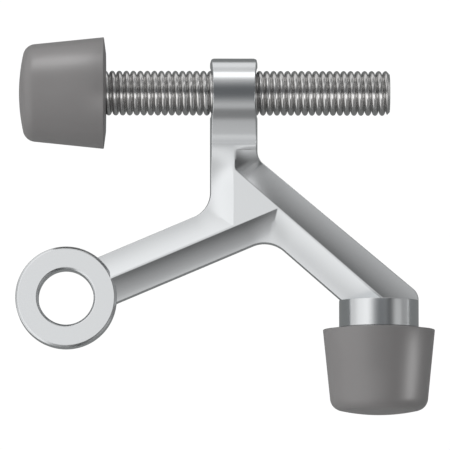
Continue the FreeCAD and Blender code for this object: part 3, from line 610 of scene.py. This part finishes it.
# The light: a studio that is bright on the left and dark on the right, with a softbox overhead and
# a shade low in front, which draws the dark band at the foot of the strap. The camera sees it white.
WALL_GAIN, SOFTBOX_LEVEL, SEEN_LEVEL = 1.6, 0.45, 1.3
SOFTBOX_OUTER, SOFTBOX_INNER = math.radians(15), math.radians(8)
SHADE_OUTER, SHADE_INNER = math.radians(28), math.radians(12)
STOPS = ((0.0, 0.34), (0.1, 0.26), (0.2, 0.14), (0.3, 0.03), (0.38, 0.33), (0.44, 0.5), (0.5, 0.55),
         (0.56, 0.55), (0.61, 0.74), (0.65, 0.92), (0.69, 1.0), (0.8, 0.96), (0.94, 0.87), (1.0, 0.62))
world = bpy.data.worlds.new("studio")
bpy.context.scene.world = world
world.use_nodes = True
tree = world.node_tree
tree.nodes.clear()
direction = add_node(tree, "ShaderNodeTexCoord").outputs["Generated"]
leftness = add_node(tree, "ShaderNodeVectorMath", {"operation": "DOT_PRODUCT"}, _0=direction,
                    _1=Vector((-0.987, 0.16, 0)).normalized())
share = add_node(tree, "ShaderNodeMapRange", Value=leftness.outputs["Value"], From_Min=-1.0, From_Max=1.0)
wall = add_node(tree, "ShaderNodeValToRGB", Fac=share.outputs["Result"])
ramp = wall.color_ramp
ramp.interpolation = "EASE"
while len(ramp.elements) < len(STOPS):
    ramp.elements.new(0.5)
for element, (position, level) in zip(ramp.elements, STOPS):
    element.position = position
    element.color = (level, level, level, 1)
upness = add_node(tree, "ShaderNodeSeparateXYZ", Vector=direction).outputs["Z"]
softbox = add_node(tree, "ShaderNodeMapRange", {"interpolation_type": "SMOOTHSTEP"}, Value=upness,
                   From_Min=math.cos(SOFTBOX_OUTER), From_Max=math.cos(SOFTBOX_INNER),
                   To_Min=0.0, To_Max=SOFTBOX_LEVEL)
wall_level = add_node(tree, "ShaderNodeMath", {"operation": "MULTIPLY"}, _0=wall.outputs["Color"],
                      _1=WALL_GAIN)
lowness = add_node(tree, "ShaderNodeVectorMath", {"operation": "DOT_PRODUCT"}, _0=direction,
                   _1=Vector((0, -0.98, 0.17)).normalized())
shade = add_node(tree, "ShaderNodeMapRange", {"interpolation_type": "SMOOTHSTEP"},
                 Value=lowness.outputs["Value"], From_Min=math.cos(SHADE_OUTER),
                 From_Max=math.cos(SHADE_INNER), To_Min=1.0, To_Max=0.5)
dimmed = add_node(tree, "ShaderNodeMath", {"operation": "MULTIPLY"}, _0=wall_level.outputs[0],
                  _1=shade.outputs["Result"])
level = add_node(tree, "ShaderNodeMath", {"operation": "ADD"}, _0=dimmed.outputs[0],
                 _1=softbox.outputs["Result"])
rays = add_node(tree, "ShaderNodeLightPath")
seen = add_node(tree, "ShaderNodeMapRange", Value=rays.outputs["Is Camera Ray"],
                To_Min=level.outputs[0], To_Max=SEEN_LEVEL)
sky = add_node(tree, "ShaderNodeBackground", Strength=seen.outputs["Result"])
add_node(tree, "ShaderNodeOutputWorld", Surface=sky.outputs[0])


# Cards of gauze about the stop, out of the camera's sight, each thick in its middle and thinner to
# its sides. Grey ones draw soft dark bands on the strap, the rod and the post, and keep the floor
# from the undersides. White ones light up the strap, the thread and, by themselves, the two tips.
def gauze(name, for_tips, axis, middle, thick, thin, colour, strength):
    """Gauze that lets all light through at a distance from the middle line of its card.
    That of a card for the tips glows for them alone and hides nothing."""
    material = bpy.data.materials.new(name)
    material.use_nodes = True
    tree = material.node_tree
    tree.nodes.clear()
    place = add_node(tree, "ShaderNodeTexCoord").outputs["Object"]
    along = add_node(tree, "ShaderNodeSeparateXYZ", Vector=place).outputs[axis]
    offset = add_node(tree, "ShaderNodeMath", {"operation": "SUBTRACT"}, _0=along, _1=middle * MM)
    distance = add_node(tree, "ShaderNodeMath", {"operation": "ABSOLUTE"}, _0=offset.outputs[0])
    cover = add_node(tree, "ShaderNodeMapRange", {"interpolation_type": "SMOOTHSTEP"},
                     Value=distance.outputs[0], From_Min=thick * MM, From_Max=thin * MM,
                     To_Min=1.0, To_Max=0.0)
    clear = add_node(tree, "ShaderNodeBsdfTransparent")
    light = add_node(tree, "ShaderNodeEmission", Color=linear(colour), Strength=strength)
    cloth = add_node(tree, "ShaderNodeMixShader", Fac=cover.outputs["Result"])
    tree.links.new(clear.outputs[0], cloth.inputs[1])
    tree.links.new(light.outputs[0], cloth.inputs[2])
    if for_tips:
        dark = add_node(tree, "ShaderNodeEmission", Strength=0.0)
        tree.links.new(dark.outputs[0], cloth.inputs[1])
        cloth = add_node(tree, "ShaderNodeAddShader", _0=cloth.outputs[0], _1=clear.outputs[0])
    add_node(tree, "ShaderNodeOutputMaterial", Surface=cloth.outputs[0])
    return material


lit_tips = bpy.data.collections.new("lit_tips")
for tip in tips:
    lit_tips.objects.link(tip)

# Each card's height and two corners in millimetres; then the axis across its gauze, the middle line,
# how far from it the gauze is thick and where it ends, its colour and its strength
for name, height, low, high, settings in (
        ("rod_card", 14.0, (4, 24.5), (62, 48.5), ("Y", 36.4, 1.2, 11.5, "#6A6C6E", 1.0)),
        ("post_card", 15.0, (45, -14), (69, 1), ("X", 56.2, 0.5, 9.5, "#7E8082", 1.0)),
        ("post_side_card", 15.2, (60, -10), (86, 1.5), ("X", 73.0, 4.0, 11.0, "#D0D0D0", 1.0)),
        ("strap_card", 14.2, (21, 45), (39, 65), ("Y", 55.0, 3.0, 9.5, "#FFFFFF", 1.9)),
        ("left_upper_card", 8.0, (5, 41), (24.5, 67), ("Y", 54.0, 9.0, 12.5, "#B4B5B6", 1.0)),
        ("right_upper_card", 8.0, (35.5, 41), (63, 67), ("Y", 54.0, 9.0, 12.5, "#B4B5B6", 1.0)),
        ("left_gleam_card", 13.6, (4, 26), (22, 36), ("Y", 31.6, 1.5, 4.4, "#FFFFFF", 1.8)),
        ("right_gleam_card", 13.6, (38, 26), (64, 36), ("Y", 31.6, 1.5, 4.4, "#FFFFFF", 1.8)),
        ("left_tip_card", 14.0, (-14, 44), (4, 92), ("Y", 68.0, 11.0, 24.0, "#FFFFFF", 6.5)),
        ("right_tip_card", 11.0, (61, -24), (110, -7), ("X", 86.0, 12.0, 25.0, "#FFFFFF", 7.0)),
        ("under_card", -14.0, (-300, -300), (360, 84), ("Y", -108.0, 175.0, 191.0, "#868888", 1.0))):
    card_mesh = bmesh.new()
    middle = Vector(((low[0] + high[0]) / 2, (low[1] + high[1]) / 2, height)) * MM
    size = Matrix.Diagonal(((high[0] - low[0]) / 2 * MM, (high[1] - low[1]) / 2 * MM, 1, 1))
    bmesh.ops.create_grid(card_mesh, x_segments=1, y_segments=1, size=1,
                          matrix=Matrix.Translation(middle) @ size)
    for_tips = name.endswith("tip_card")
    card = new_piece(name, card_mesh, gauze(name + "_gauze", for_tips, *settings))
    if for_tips:
        card.light_linking.receiver_collection = lit_tips
    card.visible_camera = False
    card.visible_shadow = False
    card.visible_diffuse = False

# The camera: a long lens above the stop, tilted as in the photograph, so that a little of the ring's
# wall and of the lower tip's nose shows.
FRAME_WIDTH = 80.1 * MM
DISTANCE = 1000 * MM
TILT_LEFT, TILT_DOWN = math.radians(0.75), math.radians(5.3)
target = Vector((28.23, 13.08, 0)) * MM
look = Vector((-math.sin(TILT_LEFT), -math.sin(TILT_DOWN), 1.0)).normalized()
camera = bpy.data.objects.new("camera", bpy.data.cameras.new("camera"))
bpy.context.collection.objects.link(camera)
camera.location = target + look * DISTANCE
right = Vector((0, 1, 0)).cross(look).normalized()
up = look.cross(right)
camera.rotation_euler = Matrix((right, up, look)).transposed().to_euler()
camera.data.sensor_width = 36
camera.data.lens = camera.data.sensor_width * DISTANCE / FRAME_WIDTH
camera.data.clip_end = 100
bpy.context.scene.camera = camera
bpy.context.scene.view_settings.view_transform = "Standard"
